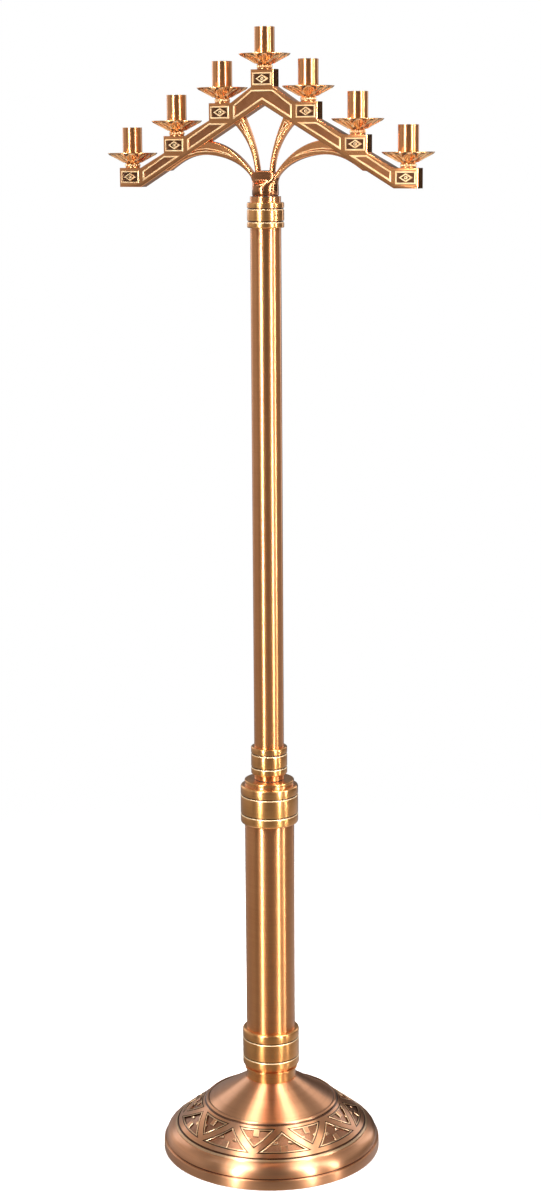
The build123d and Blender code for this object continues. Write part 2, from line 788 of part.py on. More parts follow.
def make_branch():
    hub = make_branch_hub()
    beam = make_branch_beam()
    inner = make_inner_rib(beam, hub)
    outer = make_outer_rib(beam, hub, inner)
    pieces = {
        "branch_hub": hub,
        "hub_pin": rod(hub_pin_r, staff_top_z - hub_pin_length, hub_z + hub_pin_grip),
        "rib_inner_right": inner,
        "rib_inner_left": mirrored(inner),
        "rib_outer_right": outer,
        "rib_outer_left": mirrored(outer),
        "branch_beam": beam,
        "socket_screws": Compound(children=[make_socket_screw(x, z) for x, z in candles]),
    }
    for number, (x, z) in enumerate(candles, start=1):
        pieces[f"drip_pan_{number}"] = make_drip_pan(x, z)
        pieces[f"candle_socket_{number}"] = make_candle_socket(x, z)
    return pieces


os.makedirs("parts", exist_ok=True)
for name, solid in {**make_stand(), **make_staff(), **make_branch()}.items():
    export_step(solid, f"parts/{name}.step")
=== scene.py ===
import math

import bmesh
import bpy
from mathutils import Matrix, Vector


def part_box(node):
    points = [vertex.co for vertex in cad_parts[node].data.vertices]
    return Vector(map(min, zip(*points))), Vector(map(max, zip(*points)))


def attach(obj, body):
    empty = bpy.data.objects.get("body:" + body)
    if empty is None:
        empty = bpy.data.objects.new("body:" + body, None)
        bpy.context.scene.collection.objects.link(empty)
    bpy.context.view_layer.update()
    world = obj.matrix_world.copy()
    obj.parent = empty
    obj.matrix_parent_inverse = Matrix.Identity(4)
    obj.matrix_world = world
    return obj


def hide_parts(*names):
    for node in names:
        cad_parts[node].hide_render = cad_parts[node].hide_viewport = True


# Seven-light floor candelabrum in satin bronze. Sizes below are in millimetres;
# a finished piece is in metres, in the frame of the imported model.
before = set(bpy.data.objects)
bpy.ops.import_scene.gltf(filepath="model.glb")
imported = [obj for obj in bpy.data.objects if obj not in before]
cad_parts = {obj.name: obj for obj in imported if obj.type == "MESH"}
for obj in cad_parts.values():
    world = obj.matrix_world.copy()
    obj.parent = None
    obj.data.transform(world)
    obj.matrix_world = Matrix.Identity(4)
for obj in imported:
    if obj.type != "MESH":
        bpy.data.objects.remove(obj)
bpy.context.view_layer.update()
MM = 0.001


def cad_box(node):
    """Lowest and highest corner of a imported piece, in millimetres."""
    low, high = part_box(node)
    return low / MM, high / MM


# ---------------------------------------------------------------------------
# Camera, light and floor
# ---------------------------------------------------------------------------
view_azimuth = math.radians(33.0)      # from -Y towards +X
view_tilt = math.radians(11.4)         # downwards
view_roll = 0.0066
view_distance, view_height = 2.8, 1.3


def make_camera():
    data = bpy.data.cameras.new("camera")
    data.sensor_width, data.lens = 36.0, 67.8
    data.shift_x = 0.002
    data.clip_start, data.clip_end = 0.05, 60.0
    camera = bpy.data.objects.new("camera", data)
    bpy.context.scene.collection.objects.link(camera)
    right = Vector((math.cos(view_azimuth), math.sin(view_azimuth), 0))
    ahead = Vector((-math.sin(view_azimuth), math.cos(view_azimuth), 0))
    up = ahead * math.sin(view_tilt) + Vector((0, 0, math.cos(view_tilt)))
    back = right.cross(up)
    rolled_right = right * math.cos(view_roll) - up * math.sin(view_roll)
    rolled_up = right * math.sin(view_roll) + up * math.cos(view_roll)
    place = Matrix((rolled_right, rolled_up, back)).transposed().to_4x4()
    place.translation = -ahead * view_distance + Vector((0, 0, view_height))
    camera.matrix_world = place
    bpy.context.scene.camera = camera


def soft_light(name, azimuth, distance, width, low, high, strength, lean=0.0, on_metal=True):
    """A tall soft box that faces the post; azimuth is in degrees from -Y towards +X."""
    data = bpy.data.lights.new(name, "AREA")
    data.shape, data.size, data.size_y = "RECTANGLE", width, high - low
    data.energy = strength * width * (high - low)
    light = bpy.data.objects.new(name, data)
    bpy.context.scene.collection.objects.link(light)
    turn = math.radians(azimuth)
    light.matrix_world = (
        Matrix.Rotation(turn, 4, "Z")
        @ Matrix.Translation((0, -distance, (low + high) / 2))
        @ Matrix.Rotation(math.radians(90 - lean), 4, "X")
    )
    light.visible_camera = False
    light.visible_glossy = on_metal
    return light


# ---------------------------------------------------------------------------
# Shader maths
# ---------------------------------------------------------------------------
class Wire:
    """One output of a shader node. Arithmetic on wires adds its own Math nodes."""

    def __init__(self, tree, output):
        self.tree, self.output = tree, output

    def node(self, kind, settings=None, sockets=None, out=0):
        """Adds any node: its settings first, then a number or a wire for each socket."""
        made = self.tree.nodes.new(kind)
        for key, value in (settings or {}).items():
            setattr(made, key, value)
        for key, value in (sockets or {}).items():
            if isinstance(value, Wire):
                self.tree.links.new(value.output, made.inputs[key])
            else:
                made.inputs[key].default_value = value
        return Wire(self.tree, made.outputs[out]) if len(made.outputs) else None

    def math(self, operation, a, b):
        return self.node("ShaderNodeMath", {"operation": operation}, {0: a, 1: b})

    def __add__(self, other):
        return self.math("ADD", self, other)

    __radd__ = __add__

    def __sub__(self, other):
        return self.math("SUBTRACT", self, other)

    def __rsub__(self, other):
        return self.math("SUBTRACT", other, self)

    def __mul__(self, other):
        return self.math("MULTIPLY", self, other)

    __rmul__ = __mul__

    def __pow__(self, other):
        return self.math("POWER", self, other)

    def band(self, low, high):
        """0 below low, 1 above high, and a smooth rise between them."""
        return self.node(
            "ShaderNodeMapRange",
            {"interpolation_type": "SMOOTHSTEP"},
            {"Value": self, "From Min": low, "From Max": high, "To Min": 0.0, "To Max": 1.0},
        )

    def parts(self):
        """The x, y and z of a vector."""
        split = self.node("ShaderNodeSeparateXYZ", sockets={0: self})
        return [Wire(self.tree, split.output.node.outputs[i]) for i in range(3)]

    def vector(self, x, y, z):
        return self.node("ShaderNodeCombineXYZ", sockets={0: x, 1: y, 2: z})

    def noise(self, place, scale, detail=2.0, roughness=0.5):
        return self.node(
            "ShaderNodeTexNoise",
            sockets={"Vector": place, "Scale": scale, "Detail": detail, "Roughness": roughness},
        )

    def blend(self, a, b, share):
        """A colour between a and b."""
        a, b = (value if isinstance(value, Wire) else (*value, 1.0) for value in (a, b))
        return self.node(
            "ShaderNodeMix",
            {"data_type": "RGBA"},
            {"Factor": share, 6: a, 7: b},
            out=2,
        )


def new_material(name):
    """An empty material, with a wire that reads the piece's Object coordinates."""
    material = bpy.data.materials.new(name)
    material.use_nodes = True
    tree = material.node_tree
    tree.nodes.clear()
    place = tree.nodes.new("ShaderNodeTexCoord")
    return material, Wire(tree, place.outputs["Object"])


def finish_material(place, surface):
    place.node("ShaderNodeOutputMaterial", sockets={"Surface": surface})


def own_axis(place):
    """A point measured from the turned piece's own axis, in metres."""
    return place.node("ShaderNodeAttribute", {"attribute_name": "from_axis"}, out=1)


# Bronze from its darkest to its lightest tone: golden on the tubes and the branch, yellow on the collars, a
# darker brown on the hub that is painted shade, rosier on the base, and toned in the recesses of the
# ornament. The near-black set is painted shade for grooves, walls and recess corners, and the pale rosy set
# is a painted highlight on rubbed edges.
golden = ((0.60, 0.215, 0.072), (0.79, 0.315, 0.112), (0.88, 0.395, 0.150))
rosy = ((0.56, 0.225, 0.100), (0.77, 0.345, 0.165), (0.86, 0.425, 0.215))
dull = (0.20, 0.085, 0.035)
# Pale rosy bronze for rubbed raised edges, paler still as a painted highlight.
painted_highlight_rosy = ((0.76, 0.37, 0.18), (0.92, 0.52, 0.28), (1.0, 0.66, 0.38))
yellow = ((0.60, 0.225, 0.060), (0.86, 0.36, 0.105), (0.97, 0.48, 0.160))
# The hub's bronze, darkened as painted shade.
painted_shade_brown = ((0.30, 0.105, 0.036), (0.43, 0.160, 0.056), (0.52, 0.21, 0.078))
# Near-black bronze: painted shade for grooves, walls and recess corners.
painted_shade_colours = ((0.07, 0.028, 0.012), (0.17, 0.068, 0.028), (0.3, 0.12, 0.05))
toned = ((0.30, 0.115, 0.045), (0.50, 0.20, 0.080), (0.60, 0.25, 0.10))
toned_rosy = ((0.20, 0.080, 0.038), (0.36, 0.155, 0.075), (0.44, 0.20, 0.10))


def bronze_surface(place, colour, rough, bump, **fixed):
    """Lacquered bronze: a metal under a thin clear coat."""
    sockets = {
        "Base Color": colour, "Metallic": 1.0, "Roughness": rough, "Normal": bump,
        "Coat Weight": 0.6, "Coat Roughness": 0.18, "Coat IOR": 1.5, **fixed,
    }
    finish_material(place, place.node("ShaderNodeBsdfPrincipled", sockets=sockets))


def turned_bronze(name, roughness=0.35, grain=2400.0, tone=0.5, shades=golden, brushed=1.0):
    """Bronze finished on the lathe: fine rings of scratches, and streaks of light along the axis."""
    material, place = new_material(name)
    deep, warm, gold = shades
    spot = own_axis(place)
    x, y, z = spot.parts()
    radius = (x * x + y * y) ** 0.5
    climb = z + radius * 0.7
    rings = place.noise(place.vector(x * 14.0, y * 14.0, climb * grain), 1.0, 1.5)
    wide_rings = place.noise(place.vector(x * 9.0, y * 9.0, climb * grain * 0.16), 1.0, 2.0)
    clouds = place.noise(spot, 26.0, 3.0, 0.6)
    share = (clouds * 0.55 + wide_rings * 0.35 + rings * 0.2 + (tone - 0.55)).band(0.15, 0.85)
    colour = place.blend(warm, gold, share)
    colour = place.blend(colour, deep, (0.52 - rings).band(0.0, 0.3) * 0.25)
    wear = place.noise(spot, 55.0, 4.0, 0.65).band(0.5, 0.8)
    rough = roughness + (rings - 0.5) * 0.04 + (wide_rings - 0.5) * 0.02 + wear * 0.03
    bump = place.node(
        "ShaderNodeBump",
        sockets={"Strength": 0.03, "Distance": 0.00001, "Height": rings + wide_rings * 0.6},
    )
    bronze_surface(place, colour, rough, bump, **{"Anisotropic": brushed, "Anisotropic Rotation": 0.25})
    return material


def cast_bronze(name, roughness=0.28, tone=0.5, shades=golden):
    """Cast bronze dressed with a fine belt: even satin with short scratches and soft clouds."""
    material, place = new_material(name)
    deep, warm, gold = shades
    scratches = place.noise(place, 900.0, 3.0, 0.6)
    skin = place.noise(place, 380.0, 3.0, 0.55)
    clouds = place.noise(place, 34.0, 3.0, 0.6)
    share = (clouds * 0.6 + scratches * 0.35 + (tone - 0.475)).band(0.15, 0.85)
    colour = place.blend(warm, gold, share)
    colour = place.blend(colour, deep, (0.5 - skin).band(0.0, 0.25) * 0.3)
    rough = roughness + (scratches - 0.5) * 0.12 + (clouds - 0.5) * 0.06
    bump = place.node(
        "ShaderNodeBump",
        sockets={"Strength": 0.06, "Distance": 0.00005, "Height": skin + scratches * 0.7},
    )
    bronze_surface(place, colour, rough, bump)
    return material


def sunk_bronze(name, tone=0.5, shades=golden):
    """The toned bronze left in the floor of the ornament: darker, grainier and duller. With the near-black
    colours it is painted shade instead, in grooves, walls and recess corners.
    """
    material, place = new_material(name)
    deep, warm, _ = shades
    pits = place.noise(place, 1300.0, 3.0, 0.65)
    clouds = place.noise(place, 70.0, 3.0, 0.6)
    colour = place.blend(deep, warm, (clouds * 0.5 + pits * 0.5 + (tone - 0.5)).band(0.2, 0.8))
    colour = place.blend(colour, dull, (0.52 - pits).band(0.0, 0.25) * 0.55)
    bump = place.node("ShaderNodeBump", sockets={"Strength": 0.3, "Distance": 0.0001, "Height": pits})
    bronze_surface(place, colour, 0.30 + (pits - 0.5) * 0.2, bump)
    return material


def rubbed_highlight_bronze(name, roughness=0.48):
    """Raised lines of the ornament, rubbed pale by the finishing mop, and paler still as a painted highlight.
    """
    material, place = new_material(name)
    scratches = place.noise(place, 1100.0, 3.0, 0.6)
    clouds = place.noise(place, 60.0, 3.0, 0.6)
    share = (clouds * 0.6 + scratches * 0.4).band(0.3, 0.7)
    colour = place.blend((0.92, 0.56, 0.27), (1.0, 0.78, 0.48), share)
    rough = roughness + (scratches - 0.5) * 0.12
    bump = place.node(
        "ShaderNodeBump", sockets={"Strength": 0.1, "Distance": 0.00005, "Height": scratches}
    )
    bronze_surface(place, colour, rough, bump)
    return material


def leaf_bronze(name):
    """Cast leaves by how far each stands out: a dark ground that is toned patina deepened as painted shade,
    golden leaf, and pale edges that are rubbed wear made paler as a painted highlight.
    """
    material, place = new_material(name)
    stands = place.node("ShaderNodeAttribute", {"attribute_name": "stands_out"}, out="Fac")
    skin = place.noise(place, 520.0, 3.0, 0.6)
    clouds = place.noise(place, 60.0, 3.0, 0.6)
    height = stands + (skin - 0.5) * 0.25
    share = (clouds * 0.6 + skin * 0.4).band(0.3, 0.7)
    leaf = place.blend((0.74, 0.32, 0.11), (0.96, 0.54, 0.21), share)
    # Dark ground in the hollows: toned patina, deepened as painted shade.
    colour = place.blend((0.16, 0.060, 0.022), leaf, height.band(0.12, 0.45))
    # Pale tops of the raised edges: rubbed wear, paler still as a painted highlight.
    colour = place.blend(colour, (1.0, 0.76, 0.46), height.band(0.68, 0.95))
    rough = 0.22 + height.band(0.6, 0.95) * 0.2 + (skin - 0.5) * 0.1
    bump = place.node("ShaderNodeBump", sockets={"Strength": 0.12, "Distance": 0.00006, "Height": skin})
    bronze_surface(place, colour, rough, bump)
    return material


def plain_metal(name, light, dark, roughness, grain, metallic=1.0):
    """Hidden ironwork: machined or rough metal with clouds, grain and a little grime."""
    material, place = new_material(name)
    fine = place.noise(place, grain, 4.0, 0.6)
    clouds = place.noise(place, 45.0, 3.0, 0.6)
    colour = place.blend(light, dark, (clouds * 0.6 + fine * 0.5 - 0.05).band(0.2, 0.8))
    bump = place.node("ShaderNodeBump", sockets={"Strength": 0.3, "Distance": 0.0002, "Height": fine})
    finish_material(place, place.node(
        "ShaderNodeBsdfPrincipled",
        sockets={
            "Base Color": colour, "Metallic": metallic, "Normal": bump,
            "Roughness": roughness + (fine - 0.5) * 0.25,
        },
    ))
    return material


def felt_material(name):
    material, place = new_material(name)
    hairs = place.noise(place, 2600.0, 4.0, 0.7)
    clumps = place.noise(place, 240.0, 3.0, 0.6)
    colour = place.blend((0.030, 0.055, 0.036), (0.075, 0.12, 0.08), hairs * 0.6 + clumps * 0.4)
    bump = place.node(
        "ShaderNodeBump", sockets={"Strength": 0.6, "Distance": 0.0004, "Height": hairs + clumps}
    )
    finish_material(place, place.node(
        "ShaderNodeBsdfPrincipled",
        sockets={"Base Color": colour, "Roughness": 0.96, "Normal": bump, "Sheen Weight": 0.4},
    ))
    return material


def floor_material():
    """Pale studio floor that fades into the white surroundings away from the object."""
    material, place = new_material("pale_floor")
    x, y, _ = place.parts()
    away = ((x * x + y * y) ** 0.5).band(0.45, 1.6)
    speckle = place.noise(place, 60.0, 3.0)
    colour = place.blend((0.86, 0.855, 0.85), (0.90, 0.895, 0.89), speckle)
    matte = place.node("ShaderNodeBsdfDiffuse", sockets={"Color": colour, "Roughness": 0.6})
    clear = place.node("ShaderNodeBsdfTransparent")
    finish_material(place, place.node("ShaderNodeMixShader", sockets={0: away, 1: matte, 2: clear}))
    return material


def make_surroundings():
    """White to the camera, and a dim room with a lighter left side for the metal to reflect."""
    world = bpy.data.worlds.new("studio")
    bpy.context.scene.world = world
    world.use_nodes = True
    tree = world.node_tree
    tree.nodes.clear()
    way = Wire(tree, tree.nodes.new("ShaderNodeTexCoord").outputs["Generated"])
    x, y, z = way.parts()
    left = (x * -0.94 + y * -0.34).band(-0.1, 1.0) * (x * -1.0).band(0.42, 0.80)
    left = left * (z.band(-0.36, -0.04) * 0.9 + 0.1)
    below = (z * -1.0).band(0.50, 0.95)
    right_low = (x * 0.8 + y * 0.6).band(0.2, 0.8) * (z * -1.0).band(0.10, 0.40)
    level = (1.0 - z.band(0.12, 0.45)) * z.band(-0.38, -0.16)
    behind = (y * 0.94 + x * 0.20).band(0.60, 0.92)
    right_high = (x * 0.8 + y * 0.6).band(0.2, 0.8) * z.band(0.08, 0.36)
    room = 0.15 + left * 0.40 + below * 0.85
    room = room + behind * (0.26 - level * 0.39) + right_high * 0.34 + right_low * 0.2
    dim = way.node("ShaderNodeBackground", sockets={"Color": (1.0, 0.98, 0.96, 1.0), "Strength": room})
    white = way.node("ShaderNodeBackground", sockets={"Color": (1.0, 1.0, 1.0, 1.0), "Strength": 1.0})
    seen = Wire(tree, tree.nodes.new("ShaderNodeLightPath").outputs["Is Camera Ray"])
    shown = way.node("ShaderNodeMixShader", sockets={0: seen, 1: dim, 2: white})
    way.node("ShaderNodeOutputWorld", sockets={"Surface": shown})


def make_floor():
    bm = bmesh.new()
    bmesh.ops.create_circle(bm, cap_ends=True, segments=96, radius=2.0)
    data = bpy.data.meshes.new("studio_floor")
    bm.to_mesh(data)
    bm.free()
    floor = bpy.data.objects.new("studio_floor", data)
    bpy.context.scene.collection.objects.link(floor)
    data.materials.append(floor_material())
    floor.visible_glossy = False


make_camera()
make_surroundings()
make_floor()
bpy.context.scene.view_settings.view_transform = "Standard"
soft_light("left_strip", -4.0, 3.2, 0.15, -0.2, 9.0, 210.0)
soft_light("right_strip", 74.0, 3.2, 0.12, -0.2, 8.0, 200.0)
soft_light("far_right_strip", 102.0, 3.2, 0.10, -0.2, 7.0, 120.0)
soft_light("left_high_strip", -54.0, 1.5, 0.20, 3.8, 5.0, 150.0, lean=60.0)
soft_light("right_high_strip", 120.0, 1.5, 0.20, 3.8, 5.0, 150.0, lean=60.0)
soft_light("branch_light", -15.0, 3.2, 0.6, 0.9, 1.9, 11.0)
soft_light("upper_left_light", -62.0, 3.0, 0.9, 3.6, 5.4, 4.5)
soft_light("back_left", -110.0, 3.4, 0.9, 1.1, 3.0, 4.6)
soft_light("back_right", 170.0, 3.4, 0.9, 0.2, 2.6, 4.0)
soft_light("floor_light", 0.0, 0.0, 3.0, 2.0, 5.0, 14.0, lean=90.0, on_metal=False)


# ---------------------------------------------------------------------------
# Making pieces
# ---------------------------------------------------------------------------
def finished(name, bm, body, nodes, materials, axis_x=None, sharp=32.0):
    """Turns a bmesh in millimetres into a piece that rides on its body and stands for its CAD nodes."""
    bmesh.ops.scale(bm, vec=(MM, MM, MM), verts=bm.verts)
    data = bpy.data.meshes.new(name)
    bm.to_mesh(data)
    bm.free()
    data.polygons.foreach_set("use_smooth", [True] * len(data.polygons))
    data.set_sharp_from_angle(angle=math.radians(sharp))
    if axis_x is not None:
        attribute = data.attributes.new("from_axis", "FLOAT_VECTOR", "POINT")
        for item, vertex in zip(attribute.data, data.vertices):
            item.vector = vertex.co - Vector((axis_x * MM, 0, 0))
    for material in materials:
        data.materials.append(material)
    piece = bpy.data.objects.new(name, data)
    bpy.context.scene.collection.objects.link(piece)
    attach(piece, body)
    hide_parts(*nodes)
    return piece


def section(points):
    """The edges of a closed outline on the XZ plane. Each point is (radius, height, rounding)."""
    bm = bmesh.new()
    corners = [bm.verts.new((p[0], 0, p[1])) for p in points]
    bm.faces.new(corners)
    for rounding in sorted({p[2] for p in points if len(p) > 2}):
        picked = [v for v, p in zip(corners, points) if len(p) > 2 and p[2] == rounding and v.is_valid]
        bmesh.ops.bevel(
            bm, geom=picked, offset=rounding, offset_type="OFFSET", affect="VERTICES",
            segments=4, profile=0.5, material=-1,
        )
    bmesh.ops.delete(bm, geom=bm.faces[:], context="FACES_ONLY")
    return bm


def turned(points, steps):
    """A closed ring turned about Z from its section, with its normals outwards."""
    bm = section(points)
    bmesh.ops.spin(
        bm, geom=bm.verts[:] + bm.edges[:], cent=(0, 0, 0), axis=(0, 0, 1), dvec=(0, 0, 0),
        angle=2 * math.pi, steps=steps, use_merge=True,
    )
    bmesh.ops.remove_doubles(bm, verts=bm.verts, dist=1e-4)
    bmesh.ops.recalc_face_normals(bm, faces=bm.faces)
    return bm


def arc(a, b, bulge, count=8):
    """Points after a and before b on a shallow arc that swells to the right of the way from a to b."""
    across = Vector((b[0] - a[0], b[1] - a[1]))
    out = Vector((across.y, -across.x)).normalized()
    points = []
    for i in range(1, count):
        t = i / count
        spot = Vector(a) + across * t + out * (bulge * 4 * t * (1 - t))
        points.append((spot.x, spot.y))
    return points


def bezier(points, count):
    """Points along a Bezier curve, both ends included."""
    line = []
    for i in range(count + 1):
        t = i / count
        level = [Vector(p) for p in points]
        while len(level) > 1:
            level = [a.lerp(b, t) for a, b in zip(level, level[1:])]
        line.append(tuple(level[0]))
    return line


def loop(bm, corners, y=0.0):
    """A closed chain of edges through (x, z) corners on one plane."""
    verts = [bm.verts.new((x, y, z)) for x, z in corners]
    return [bm.edges.new(pair) for pair in zip(verts, verts[1:] + verts[:1])]


def fill(bm, edges):
    """Fills between an outer loop and the loops inside it, facing the front."""
    made = bmesh.ops.triangle_fill(bm, use_beauty=True, use_dissolve=False, edges=edges, normal=(0, -1, 0))
    faces = [f for f in made["geom"] if isinstance(f, bmesh.types.BMFace)]
    for face in faces:
        face.normal_update()
        if face.normal.y > 0:
            face.normal_flip()
    return faces


def panel(bm, edges, steps, floor=0):
    """Fills one loop, then steps its face in by an inset and up by a rise, and returns that face.

    A step's third number is the material slot of the ring that it leaves.
    """
    face = bmesh.ops.edgeloop_fill(bm, edges=edges)["faces"][0]
    face.normal_update()
    if face.normal.y > 0:
        face.normal_flip()
    for inset, rise, *slot in steps:
        face.material_index = slot[0] if slot else 0
        bmesh.ops.inset_region(
            bm, faces=[face], thickness=inset, depth=rise, use_even_offset=True, use_boundary=True
        )
    face.material_index = floor
    return face


def opened(bm, face):
    """Takes a face away and returns its edges, so that more loops can be set inside it."""
    edges = face.edges[:]
    bmesh.ops.delete(bm, geom=[face], context="FACES_ONLY")
    return edges


def only_verts(geometry):
    return [v for v in geometry if isinstance(v, bmesh.types.BMVert)]


def both_sides(bm):
    """Mirrors a front sheet to the back and closes the plate between their edges."""
    rim = [e for e in bm.edges if e.is_boundary]
    rim_y = sum(e.verts[0].co.y for e in rim) / len(rim)
    back = bmesh.ops.duplicate(bm, geom=bm.verts[:] + bm.edges[:] + bm.faces[:])["geom"]
    bmesh.ops.scale(bm, vec=(1, -1, 1), verts=only_verts(back))
    bmesh.ops.reverse_faces(bm, faces=[f for f in back if isinstance(f, bmesh.types.BMFace)])
    wall = bmesh.ops.extrude_edge_only(bm, edges=rim)["geom"]
    bmesh.ops.translate(bm, vec=(0, -2 * rim_y, 0), verts=only_verts(wall))
    bmesh.ops.remove_doubles(bm, verts=bm.verts, dist=1e-4)
    bmesh.ops.recalc_face_normals(bm, faces=bm.faces)


tube_finish = turned_bronze("brushed_bronze_tube")
collar_finish = turned_bronze("turned_bronze_collar", roughness=0.30, tone=0.55, shades=yellow, brushed=0.85)
base_finish = turned_bronze("spun_bronze_base", roughness=0.35, shades=rosy, brushed=0.95)
ornament_finish = turned_bronze("brushed_bronze_ornament", roughness=0.38, shades=rosy)
socket_finish = turned_bronze("bright_bronze_socket", roughness=0.30, tone=0.6)
# The hub's darker brown is painted shade: the same bronze, darkened where its web reflects less light.
hub_finish = cast_bronze("dressed_bronze_hub", roughness=0.22, tone=0.4, shades=painted_shade_brown)
beam_finish = cast_bronze("dressed_bronze_beam", roughness=0.20, tone=0.55)
# Pale bead finish: rubbed wear, and a painted highlight on raised lines.
bead_wear_and_highlight_finish = rubbed_highlight_bronze("rubbed_bead_painted_highlight")
panel_finish = sunk_bronze("toned_bronze_panel", tone=0.4, shades=toned)
# Painted shade: near-black bronze for grooves, walls and the recesses of the blocks.
painted_shade_finish = sunk_bronze("painted_shade_bronze_recess", shades=painted_shade_colours)
rib_finish = cast_bronze("dressed_bronze_rib", roughness=0.24, tone=0.5)
pan_finish = leaf_bronze("cast_bronze_pan")
# Raised edges: rubbed wear and a painted highlight.
edge_wear_and_highlight_finish = turned_bronze("rubbed_edge_painted_highlight", roughness=0.46, tone=0.9, shades=painted_highlight_rosy)
sunk_finish = sunk_bronze("toned_bronze_recess", tone=0.6, shades=toned_rosy)
iron_finish = plain_metal("rough_cast_iron", (0.16, 0.15, 0.145), (0.075, 0.07, 0.068), 0.62, 420.0)
steel_finish = plain_metal("machined_steel", (0.56, 0.56, 0.57), (0.40, 0.40, 0.41), 0.34, 900.0)
nylon_finish = plain_metal(
    "black_nylon", (0.040, 0.036, 0.032), (0.022, 0.020, 0.018), 0.5, 700.0, metallic=0.0
)
felt_finish = felt_material("green_felt")

# ---------------------------------------------------------------------------
# Column and staff
# ---------------------------------------------------------------------------
tube_wall = 1.6
slip_gap = 0.05
groove_width, groove_depth = 2.4, 0.9
lip_drop = 0.8                      # the groove's sloping lower side ends this far in
collar_steps = 144


def make_tube(node, body, steps):
    low, high = cad_box(node)
    r = high.x
    points = [(r - tube_wall, low.z), (r, low.z, 0.4), (r, high.z, 0.4), (r - tube_wall, high.z)]
    finished(node, turned(points, steps), body, [node], [tube_finish], 0.0)


def make_collar(node, body, tube_r, groove_at, end_round):
    """A banded collar with two turned grooves."""
    low, high = cad_box(node)
    r, foot, head = high.x, low.z, high.z
    points = [(tube_r + slip_gap, foot), (r, foot, end_round)]
    for middle in (foot + groove_at, head - groove_at):
        a, b = middle - groove_width / 2, middle + groove_width / 2
        points += [
            (r, a - 0.5, 0.2), (r - lip_drop, a + 0.6, 0.15), (r - groove_depth, b, 0.1), (r, b, 0.2),
        ]
    points += [(r, head, end_round), (tube_r + slip_gap, head)]
    bm = turned(points, collar_steps)
    # Painted light on the grooves: faces that look up take the pale bead finish as a painted highlight, the
    # others take painted shade.
    for face in bm.faces:
        middle = face.calc_center_median()
        below_skin = tube_r + 1.0 < math.hypot(middle.x, middle.y) < r - 0.1
        if below_skin and foot + end_round < middle.z < head - end_round:
            face.material_index = 2 if face.normal.z > 0.3 else 1      # bright lip, dark groove
    finished(node, bm, body, [node], [collar_finish, painted_shade_finish, bead_wear_and_highlight_finish], 0.0)


def make_foot_ring():
    """The tapered neck and small step between the base and the thick tube."""
    low, high = cad_box("column_foot_ring")
    tube_low, tube_high = cad_box("column_tube")
    step_r, tube_r, step_top = high.x, tube_high.x, tube_low.z
    bore, inner = 18.0, tube_r - tube_wall - slip_gap
    step_foot = step_top - 3.0
    points = [
        (bore, low.z), (tube_r + 0.85, low.z, 0.5), (tube_r - 0.15, step_foot, 0.3),
        (step_r, step_foot, 0.6), (step_r, step_top, 0.6), (inner, step_top), (inner, high.z), (bore, high.z),
    ]
    bm, node = turned(points, collar_steps), "column_foot_ring"
    finished(node, bm, "stand", [node], [collar_finish], 0.0)


def make_cap():
    """The turned cap that closes the thick tube and carries the staff."""
    low, high = cad_box("column_cap")
    _, tube_high = cad_box("column_tube")
    r, bore, inner = high.x, 17.0, tube_high.x - tube_wall - slip_gap
    points = [
        (bore, low.z), (inner, low.z), (inner, tube_high.z), (r, tube_high.z, 0.3),
        (r, high.z, 0.9), (bore, high.z),
    ]
    bm, node = turned(points, collar_steps), "column_cap"
    finished(node, bm, "stand", [node], [collar_finish], 0.0)


make_tube("column_tube", "stand", 160)
make_tube("staff_tube", "staff", 128)
column_r, staff_r = cad_box("column_tube")[1].x, cad_box("staff_tube")[1].x
make_collar("column_lower_collar", "stand", column_r, 12.5, 2.6)
make_collar("column_upper_collar", "stand", column_r, 12.5, 2.6)
make_collar("staff_foot_collar", "staff", staff_r, 8.9, 1.4)
make_collar("staff_head_collar", "staff", staff_r, 7.6, 1.4)
make_foot_ring()
make_cap()

# ---------------------------------------------------------------------------
# Base
# ---------------------------------------------------------------------------
band_foot, band_head = Vector((122.5, 35.5)), Vector((88.0, 63.0))   # radius and height
band_length = (band_head - band_foot).length
band_up = (band_head - band_foot).normalized()
band_out = Vector((band_up.y, -band_up.x))
band_skin = 3.0                     # thickness of the ornament ring
degree = 1.8326                     # millimetres round the middle of the band
ornament_turn = 1.0                 # degrees from -Y to the nearest upright triangle's middle
period = 40.0


